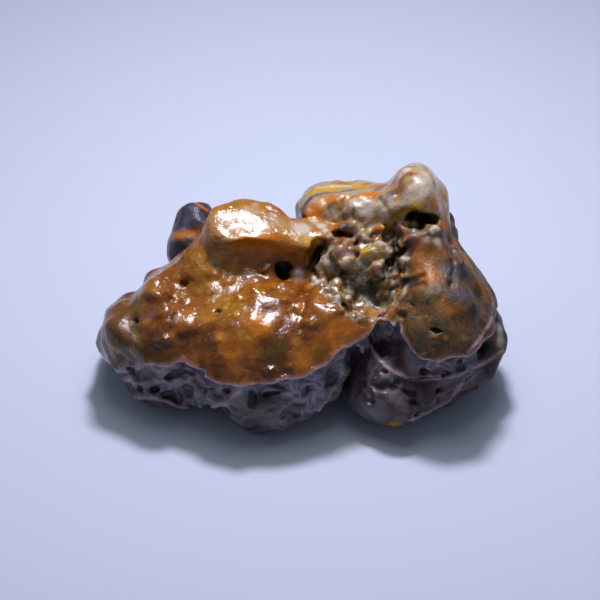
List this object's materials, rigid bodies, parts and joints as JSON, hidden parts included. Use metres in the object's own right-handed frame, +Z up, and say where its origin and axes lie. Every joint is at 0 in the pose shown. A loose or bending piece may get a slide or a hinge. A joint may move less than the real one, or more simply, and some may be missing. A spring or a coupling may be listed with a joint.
{
  "type": "raw gobi agate",
  "caption": "Raw wind-polished gobi agate nodule with an amber slab, a flat-topped brow, a pitted hollow, a tall snout and low lobes it rests on.",
  "frame": {"origin": "middle of the stone's footprint, at the level it rests on", "axes": "+Z up, +X along the stone's length towards the tall snout, -Y towards the front slab with the sharp lip"},
  "size_m": [0.0466, 0.028, 0.0247],
  "materials": {
    "agate": "naturally polished amber chalcedony, with grey-lavender and dark banded undersides"
  },
  "bodies": {
    "root": {"agate": "agate"}
  },
  "joints": []
}
